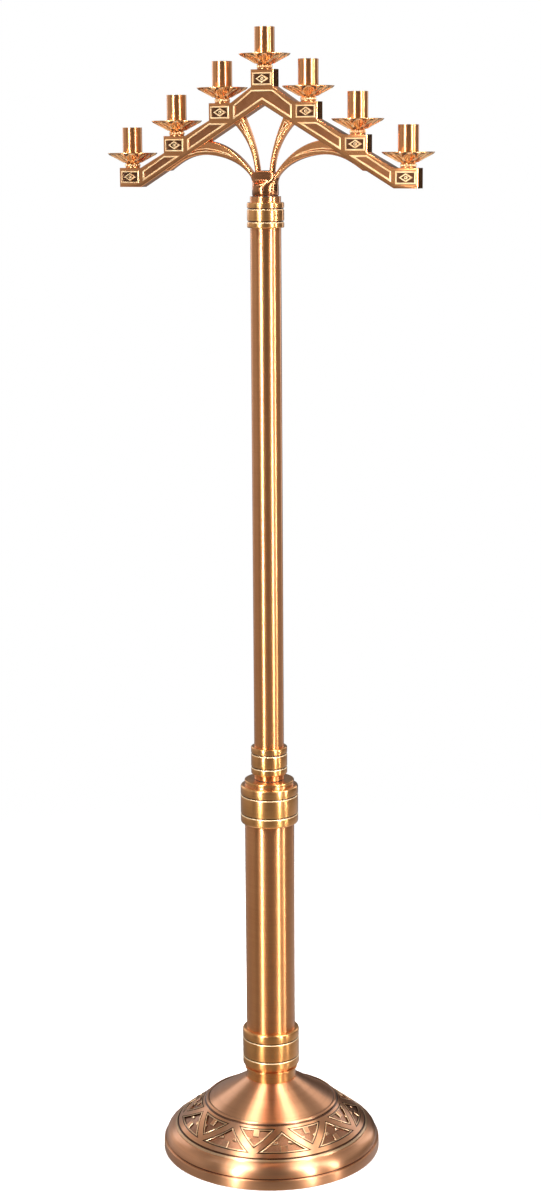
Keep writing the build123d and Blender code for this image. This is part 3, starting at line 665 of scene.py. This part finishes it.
def make_base_casting():
    """Spun lip, moulding, bead and cone, with a seat for the ornament ring."""
    low, high = cad_box("base_shell")
    r, foot, top = high.x, low.z, high.z
    seat = band_out * (band_skin - 0.4)
    seat_foot, seat_head = band_foot - seat, band_head - seat
    points = [(17.3, top), (33.4, top, 0.5)]
    points += [(81.9, 66.6, 0.2), (82.6, 67.3, 0.3), (84.6, 67.4, 0.6), (86.2, 65.8, 0.6), (86.7, 64.0, 0.2)]
    points += [tuple(corner) for corner in (band_head, seat_head, seat_foot, band_foot)]
    points += [(122.7, 33.6, 0.3), (123.6, 32.9, 0.3)]
    points += [(124.7, 34.2, 0.5), (126.7, 32.6, 0.7), (126.9, 30.9, 0.3)]
    points += arc((139.3, 15.2), (127.3, 30.5), 3.3)[::-1]
    points += [(139.3, 15.2, 0.3), (138.2, 14.2, 0.2), (138.4, 13.3, 0.2)]
    points += [(r - 0.2, 13.3, 0.9), (r, foot, 0.4)]
    points += [(r - 3.5, foot), (r - 3.5, 12.0), (122.0, 28.5), (86.0, 55.0)]
    points += [(34.0, top - 6.0), (17.3, top - 6.0)]
    bm = turned(points, 288)
    grooves = (                     # from and to a radius, then from and to a height
        (122.4, 124.1, 32.6, 35.0), (138.0, 139.2, 13.1, 14.8),
        (86.0, 88.2, 62.8, 65.2), (81.4, 82.7, 66.3, 67.3),
    )
    # The grooves take painted shade, and the bead ring on the moulding takes a painted highlight.
    for face in bm.faces:
        middle = face.calc_center_median()
        out = math.hypot(middle.x, middle.y)
        if any(a < out < b and c < middle.z < d for a, b, c, d in grooves):
            face.material_index = 1
        elif 124.2 < out < 126.9 and 31.6 < middle.z < 35.0:
            face.material_index = 2
    materials = [base_finish, painted_shade_finish, edge_wear_and_highlight_finish]
    finished("base_casting", bm, "stand", ["base_shell"], materials, 0.0)


def rolled(bm):
    """Bends the flat band round the base: x runs round it, z up its slope and -y out of it."""
    for cut in range(-100, 115):
        bmesh.ops.bisect_plane(
            bm, geom=bm.verts[:] + bm.edges[:] + bm.faces[:], dist=1e-5,
            plane_co=(cut * 2 * degree, 0, 0), plane_no=(1, 0, 0),
        )
    for vertex in bm.verts:
        turn = math.radians(vertex.co.x / degree)
        spot = band_foot + band_up * vertex.co.z - band_out * vertex.co.y
        vertex.co = (spot.x * math.sin(turn), -spot.x * math.cos(turn), spot.y)
    bmesh.ops.remove_doubles(bm, verts=bm.verts, dist=2e-3)


# Material slots of the ornament ring, in the order in which it gets its finishes.
band_slot, recess_slot, painted_shade_wall_slot, highlight_edge_slot = range(4)
# The groove walls and the inner flank take painted shade, and the raised border takes a painted highlight.
triangle_steps = [
    (0.3, -1.3, painted_shade_wall_slot), (0.7, 0, painted_shade_wall_slot), (0.3, 1.4, painted_shade_wall_slot), (0.35, 0.3, highlight_edge_slot),
    (0.7, 0, highlight_edge_slot), (0.35, -0.3, highlight_edge_slot), (0.35, -2.0, painted_shade_wall_slot),
]


def stand_up(bm, outline, floor_y, top_y, chamfer=0.9):
    """A small block on the floor of a recess, open underneath, with chamfered top edges."""
    wall = floor_y - top_y - chamfer
    # The walls take painted shade and the chamfer takes a painted highlight.
    steps = [(0.02, wall, painted_shade_wall_slot), (chamfer, chamfer, highlight_edge_slot)]
    panel(bm, loop(bm, outline, floor_y), steps, band_slot)


def inner_figures(centre, sign, base):
    """The post and the two shoulders that stand inside a triangle."""
    post = [(-4.4, 1.4), (4.4, 1.4), (3.8, 11.0), (-3.8, 11.0)]
    shoulder = [(-12.9, 12.6), (-6.2, 14.0), (-7.2, 17.2), (-10.4, 16.6)]
    figures = [post, shoulder, [(-x, z) for x, z in shoulder]]
    return [[(centre + x, base + sign * z) for x, z in figure] for figure in figures]


def make_ornament_ring():
    """The band of upright and hanging triangles, modelled flat and then rolled round the base."""
    bm = bmesh.new()
    start, whole = (ornament_turn - 4.5 * period) * degree, 360.0 * degree
    low_end, high_end = start - 7.4, start + 37.3      # the seam runs up the middle of a slanting bar
    edges = loop(bm, [
        (low_end, 0), (low_end + whole, 0), (high_end + whole, band_length), (high_end, band_length),
    ])
    triangles = []
    for i in range(-4, 5):
        upright = (ornament_turn + i * period) * degree
        hanging = upright + period / 2 * degree
        pair = ((upright, 1, 6.0, 37.6, 32.6), (hanging, -1, 40.8, 12.7, 28.0))
        for centre, sign, base, apex, reach in pair:
            corners = [(centre - reach, base), (centre + reach, base), (centre, apex)]
            triangles.append((centre, sign, base, loop(bm, corners)))
    fill(bm, edges + [e for triangle in triangles for e in triangle[3]])
    rim = [e for e in edges if e.is_valid and abs(e.verts[0].co.z - e.verts[1].co.z) < 1e-6]
    skirt = bmesh.ops.extrude_edge_only(bm, edges=rim)["geom"]
    bmesh.ops.translate(bm, vec=(0, band_skin, 0), verts=only_verts(skirt))
    under = [
        e for e in skirt
        if isinstance(e, bmesh.types.BMEdge) and e.verts[0].co.y > 1 and e.verts[1].co.y > 1
    ]
    bmesh.ops.bridge_loops(bm, edges=under)
    for centre, sign, base, triangle in triangles:
        panel(bm, triangle, triangle_steps, recess_slot)
        for figure in inner_figures(centre, sign, base):
            stand_up(bm, figure, floor_y=1.9, top_y=-0.2)
    rolled(bm)
    materials = [ornament_finish, sunk_finish, painted_shade_finish, edge_wear_and_highlight_finish]
    finished("ornament_ring", bm, "stand", [], materials, 0.0, sharp=25.0)


make_base_casting()
make_ornament_ring()

# ---------------------------------------------------------------------------
# Branch
# ---------------------------------------------------------------------------
block_half = 16.25
block_side = 20.7
end_block_height = 23.7
beam_half = 6.5
places = [(cad_box(f"candle_socket_{n}")[0].x + cad_box(f"candle_socket_{n}")[1].x) / 2 for n in range(1, 8)]
block_tops = [cad_box(f"drip_pan_{n}")[0].z for n in range(1, 8)]
right_blocks = list(zip(places, block_tops))[3:]
beam_end_x = right_blocks[3][0] - block_half
beam_end_z = right_blocks[3][1] - end_block_height
beam_apex_z = right_blocks[0][1] - 41.4

# Material slots of the beam, in the order in which it gets its finishes, and the steps of its relief.
plain_slot, panel_slot, painted_highlight_slot, painted_shade_slot = range(4)
# Beads take a painted highlight; frames, diamonds and bosses sit in painted shade.
bead_steps = [
    (0.3, 0.5, painted_highlight_slot), (0.4, 0.3, painted_highlight_slot), (0.8, 0.0, painted_highlight_slot),
    (0.4, -0.3, painted_highlight_slot), (0.3, -0.5, painted_highlight_slot), (0.3, -1.2, panel_slot),
]
frame_steps = [
    (0.3, 0.5, painted_highlight_slot), (0.5, 0.3, painted_highlight_slot), (0.9, 0.0, painted_highlight_slot),
    (0.3, -0.8, painted_highlight_slot), (0.25, -1.2, painted_shade_slot),
]
diamond_steps = [
    (0.15, 1.1, painted_highlight_slot), (0.25, 0.5, painted_highlight_slot), (1.1, 0.0, painted_highlight_slot),
    (0.2, -0.3, painted_highlight_slot), (0.15, -1.3, painted_shade_slot),
]
boss_steps = [
    (0.15, 1.1, painted_highlight_slot), (0.3, 0.45, painted_highlight_slot), (0.8, 0.0, painted_highlight_slot), (0.2, -0.9, painted_shade_slot),
]


def mirrored(points):
    return [(-x, z) for x, z in reversed(points)]


def beam_top(x):
    """Height of the sloping upper edge between two blocks."""
    for (x0, z0), (x1, z1) in zip(right_blocks, right_blocks[1:]):
        if x <= x1 - block_half:
            start, end = (x0 + block_half, z0 - block_side), (x1 - block_half, z1)
            return start[1] + (end[1] - start[1]) * (x - start[0]) / (end[0] - start[0])


def beam_foot(x):
    """Height of the straight underside."""
    return beam_apex_z + (beam_end_z - beam_apex_z) * x / beam_end_x


def beam_outline():
    right = []
    for i, (x, z) in enumerate(right_blocks):
        right += [(x - block_half, z)] if i else []
        right += [(x + block_half, z), (x + block_half, z - (end_block_height if i == 3 else block_side))]
    right.append((beam_end_x, beam_end_z))
    return right + [(0, beam_apex_z)] + mirrored(right)


def panel_outlines():
    """The chevron in the middle and the long panels between the blocks."""
    m = 4.6
    end = right_blocks[1][0] - block_half - m * 0.75
    right = [
        (block_half - m * 0.2, right_blocks[0][1] - block_side - m * 0.75),
        (end, beam_top(end) - m * 1.2),
        (end, beam_foot(end) + m * 1.2),
    ]
    outlines = [right + [(0, beam_apex_z + m * 1.2)] + mirrored(right)]
    slope = (beam_end_z - beam_apex_z) / beam_end_x
    for (x0, z0), (x1, _) in zip(right_blocks[1:], right_blocks[2:]):
        end = x1 - block_half - m * 0.75
        shelf = z0 - block_side - m * 0.75
        row = [
            ((shelf - m * 1.2 - beam_apex_z) / slope, shelf),
            (x0 + block_half - m * 0.1, shelf),
            (end, beam_top(end) - m * 1.2),
            (end, beam_foot(end) + m * 1.2),
        ]
        outlines += [row, mirrored(row)]
    return outlines


def make_beam():
    """Stepped chevron beam: beaded panels, and a framed diamond with a boss on every block."""
    bm = bmesh.new()
    rim_steps = [(0.35, 0.45, plain_slot), (0.45, 0.15, plain_slot)]
    rim_face = panel(bm, loop(bm, beam_outline(), -beam_half + 0.6), rim_steps)
    edges = opened(bm, rim_face)
    panels = [loop(bm, outline, -beam_half) for outline in panel_outlines()]
    frame_w, frame_h, frame_z = 13.8, 7.7, -11.2        # half sizes, and the middle under the block's top
    diamond_w, diamond_h = 9.6, 5.3
    boss_w, boss_h = 2.3, 2.1
    frames = []
    for x, z in zip(places, block_tops):
        middle = z + frame_z
        frames.append((x, middle, loop(bm, [
            (x - frame_w, middle - frame_h), (x + frame_w, middle - frame_h),
            (x + frame_w, middle + frame_h), (x - frame_w, middle + frame_h),
        ], -beam_half)))
    fill(bm, edges + [e for row in panels for e in row] + [e for row in frames for e in row[2]])
    for row in panels:
        panel(bm, row, bead_steps, panel_slot)
    floor_y = -beam_half + 1.2
    for x, middle, row in frames:
        field = opened(bm, panel(bm, row, frame_steps, painted_shade_slot))
        diamond = loop(bm, [
            (x - diamond_w, middle), (x, middle - diamond_h),
            (x + diamond_w, middle), (x, middle + diamond_h),
        ], floor_y)
        for face in fill(bm, field + diamond):
            face.material_index = painted_shade_slot
        inner = panel(bm, diamond, diamond_steps, painted_shade_slot)
        boss = loop(bm, [
            (x + boss_w * math.cos(i * math.pi / 10), middle + boss_h * math.sin(i * math.pi / 10))
            for i in range(20)
        ], floor_y)
        for face in fill(bm, opened(bm, inner) + boss):
            face.material_index = painted_shade_slot
        panel(bm, boss, boss_steps, painted_shade_slot)
    both_sides(bm)
    materials = [beam_finish, panel_finish, bead_wear_and_highlight_finish, painted_shade_finish]
    finished("branch_beam", bm, "branch", ["branch_beam"], materials, sharp=28.0)


make_beam()


def make_rib(node, outline, flute, side, depth=9.0):
    """A cast rib with softened edges and a tapering flute on both faces."""
    bm = bmesh.new()
    half = depth / 2
    if side < 0:
        outline, flute = mirrored(outline), mirrored(flute)
    rim_face = panel(bm, loop(bm, outline, -half + 1.5), [(0.25, 0.75), (0.5, 0.5), (0.75, 0.25)])
    edges = opened(bm, rim_face)
    groove = loop(bm, flute, -half)
    fill(bm, edges + groove)
    # The flute's raised rim takes the pale bead finish as a painted highlight.
    panel(bm, groove, [(0.3, 0.4, 1), (0.5, 0.1, 1), (0.3, -0.4, 1), (0.5, -1.3)], 0)
    both_sides(bm)
    finished(node, bm, "branch", [node], [rib_finish, bead_wear_and_highlight_finish], sharp=40.0)


def inner_rib():
    """The short rib from the hub to the inner block."""
    outer = bezier([(44.5, 1326.2), (13.2, 1300.0), (12.2, 1260.0)], 16)
    inner = bezier([(7.4, 1260.0), (9.4, 1296.0), (30.3, 1335.2)], 16)
    flute = [(16.2, 1293.0), (21.6, 1305.2), (28.3, 1315.6), (35.8, 1323.8),
             (31.4, 1327.6), (25.4, 1317.2), (20.2, 1306.0)]
    return inner + outer, flute[::-1]


def outer_rib():
    """The long crescent from the hub to the outer half of the beam."""
    upper = bezier([(13.6, 1261.3), (27.0, 1280.0), (50.0, 1301.3), (82.6, 1304.7)], 18)
    lower = bezier([(139.3, 1268.6), (121.8, 1280.2), (107.8, 1287.7), (86.8, 1287.7)], 10)
    lower += bezier([(86.8, 1287.7), (58.0, 1287.7), (23.0, 1275.5), (14.0, 1252.3)], 16)[1:]
    flute = [(38.0, 1282.2), (52.0, 1289.6), (68.0, 1293.8), (84.0, 1295.6), (98.0, 1294.6), (110.0, 1290.6),
             (122.0, 1284.4), (110.0, 1287.4), (98.0, 1290.6), (84.0, 1291.6), (68.0, 1290.6), (52.0, 1287.2)]
    return upper + [(84.6, 1306.7), (150.0, 1271.7), (150.8, 1267.5)] + lower, flute


for side, word in ((1, "right"), (-1, "left")):
    make_rib(f"rib_inner_{word}", *inner_rib(), side)
    make_rib(f"rib_outer_{word}", *outer_rib(), side)


def oval(bm, half_x, half_y, squareness, height, count=64):
    """A closed loop between a circle (squareness 2) and a box."""
    verts = []
    for i in range(count):
        turn = 2 * math.pi * i / count
        c, s = math.cos(turn), math.sin(turn)
        size = (abs(c) ** squareness + abs(s) ** squareness) ** (-1 / squareness)
        verts.append(bm.verts.new((half_x * size * c, half_y * size * s, height)))
    return [bm.edges.new(pair) for pair in zip(verts, verts[1:] + verts[:1])]


def make_hub():
    """Round stem that spreads into a flat web under the ribs."""
    bm = bmesh.new()
    low, _ = cad_box("branch_hub")
    stem, z = 16.4, low.z
    stations = [                    # half width, half depth, squareness and height
        (stem - 0.4, stem - 0.4, 2.0, z), (stem, stem, 2.0, z + 0.5), (stem, stem, 2.0, z + 9.5),
        (stem, 15.9, 2.0, z + 11.6), (stem + 0.2, 14.5, 2.05, z + 13.4), (stem + 0.5, 12.4, 2.2, z + 15.2),
        (stem + 0.9, 10.2, 2.5, z + 16.8), (stem + 1.2, 8.5, 3.2, z + 18.3), (stem + 1.5, 7.4, 4.5, z + 20.0),
        (stem + 1.8, 7.0, 7.0, z + 22.5), (stem + 1.2, 6.9, 7.0, z + 25.0), (15.4, 6.8, 6.0, z + 27.4),
        (13.0, 6.2, 5.0, z + 28.6), (9.5, 5.6, 4.0, z + 29.5), (5.0, 4.0, 3.0, z + 30.1),
    ]
    loops = [oval(bm, *station) for station in stations]
    for a, b in zip(loops, loops[1:]):
        bmesh.ops.bridge_loops(bm, edges=a + b)
    bmesh.ops.edgeloop_fill(bm, edges=loops[0])
    bmesh.ops.edgeloop_fill(bm, edges=loops[-1])
    bmesh.ops.recalc_face_normals(bm, faces=bm.faces)
    finished("branch_hub", bm, "branch", ["branch_hub"], [hub_finish], 0.0, sharp=50.0)


make_hub()

# ---- Drip pans and candle sockets ----
petals = 8
petal_turn = math.radians(33.0)     # one petal looks at the front right


def petal_relief(turn, rise):
    """How far the leaf pattern stands out of its ground, and whether it is a rubbed edge there."""
    beat = (turn - petal_turn) / (2 * math.pi / petals)
    across = abs(beat - round(beat)) * 2                       # 0 on a leaf's middle, 1 between leaves
    half = 0.95 * (1.0 - max(0.0, (rise - 0.34) / 0.74) ** 2.4) * (0.62 + 0.38 * min(1.0, rise / 0.30))
    inside = (half - across) * 4.5
    leaf = max(0.0, min(1.0, inside * 2.2))
    dish = max(0.0, min(1.0, (inside - 0.55) * 1.8))            # the leaf is hollow behind its raised edge
    rib = max(0.0, 1.0 - across * 7.0)
    front = leaf - dish * 0.62 + rib * 0.55 * min(1.0, leaf)
    between = 1.0 - across
    bud = max(0.0, 1.0 - between / 0.42 - abs(rise - 0.30) / 0.26)
    spear = max(0.0, 1.0 - between / (0.6 * max(0.05, rise - 0.45))) if rise > 0.5 else 0.0
    return max(front, min(1.0, bud * 2.6), min(0.8, spear * 1.6))


def make_pan(number, x, z):
    """Cast drip pan: leaves under a thin scalloped rim, and a beaded neck."""
    foot, rim = Vector((10.6, 6.6)), Vector((30.5, 17.2))
    out = Vector((rim.y - foot.y, foot.x - rim.x)).normalized()
    steps = 30
    flank = [tuple(foot.lerp(rim, i / steps)) for i in range(steps + 1)]
    points = [(2.8, 0), (9.2, 0, 0.3), (9.2, 1.0, 0.2), (7.4, 1.6), (7.4, 5.2), (9.2, 6.0)] + flank
    points += [
        (31.2, 17.8, 0.2), (31.2, 18.6, 0.25), (30.3, 18.6, 0.2), (19.4, 12.5), (13.2, 11.2, 0.4),
        (12.9, 10.3), (2.8, 10.3),
    ]
    bm = turned(points, 192)
    stands_out = bm.verts.layers.float.new("stands_out")
    for vertex in bm.verts:
        vertex[stands_out] = 0.45
        r = math.hypot(vertex.co.x, vertex.co.y)
        spot = Vector((r, vertex.co.z))
        rise = (spot - foot).dot(rim - foot) / (rim - foot).length_squared
        if -0.01 <= rise <= 1.01 and abs((spot - foot).dot(out)) < 0.05:
            turn = math.atan2(vertex.co.x, -vertex.co.y)
            vertex[stands_out] = petal_relief(turn, rise)
            lift = (vertex[stands_out] * 1.7 - 0.9) * max(0.0, min(1.0, (1.0 - rise) * 14.0, rise * 20.0))
            vertex.co.x *= (r + out.x * lift) / r
            vertex.co.y *= (r + out.x * lift) / r
            vertex.co.z += out.y * lift
    for i in range(petals * 2):
        turn = petal_turn + (i + 0.5) * math.pi / petals
        bead = bmesh.ops.create_icosphere(bm, subdivisions=2, radius=1.0)["verts"]
        bmesh.ops.scale(bm, vec=(1.6, 1.6, 2.1), verts=bead)
        bmesh.ops.translate(bm, vec=(8.3 * math.sin(turn), -8.3 * math.cos(turn), 3.3), verts=bead)
        # The neck beads take the pale bead finish as a painted highlight.
        for face in {f for v in bead for f in v.link_faces}:
            face.material_index = 1
    bmesh.ops.translate(bm, vec=(x, 0, z), verts=bm.verts)
    node = f"drip_pan_{number}"
    finished(node, bm, "branch", [node], [pan_finish, bead_wear_and_highlight_finish], x, sharp=38.0)


def make_socket(number, x, z):
    """Plain bright tube that takes the candle."""
    seat, floor, top, r, bore = 10.3, 13.3, 49.9, 12.3, 11.3
    points = [
        (2.8, seat), (r, seat), (r, top, 0.35), (bore, top, 0.25), (bore, floor, 0.3), (4.95, floor),
        (2.8, floor - 2.7),
    ]
    bm = turned(points, 96)
    bmesh.ops.translate(bm, vec=(x, 0, z), verts=bm.verts)
    node = f"candle_socket_{number}"
    finished(node, bm, "branch", [node], [socket_finish], x)


for number, (x, z) in enumerate(zip(places, block_tops), start=1):
    make_pan(number, x, z)
    make_socket(number, x, z)

# ---------------------------------------------------------------------------
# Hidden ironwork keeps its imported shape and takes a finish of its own
# ---------------------------------------------------------------------------
for nodes, material in (
    (("base_ballast",), iron_finish),
    (("base_felt",), felt_finish),
    (("tie_tube", "tie_washer", "tie_nut", "staff_foot_plug", "staff_spigot", "hub_pin",
      "column_collar_screws", "staff_collar_screws", "socket_screws"), steel_finish),
    (("staff_guide_bush", "column_seat_washer", "staff_head_bush", "swivel_washer"), nylon_finish),
):
    for node in nodes:
        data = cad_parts[node].data
        data.materials.clear()
        data.materials.append(material)
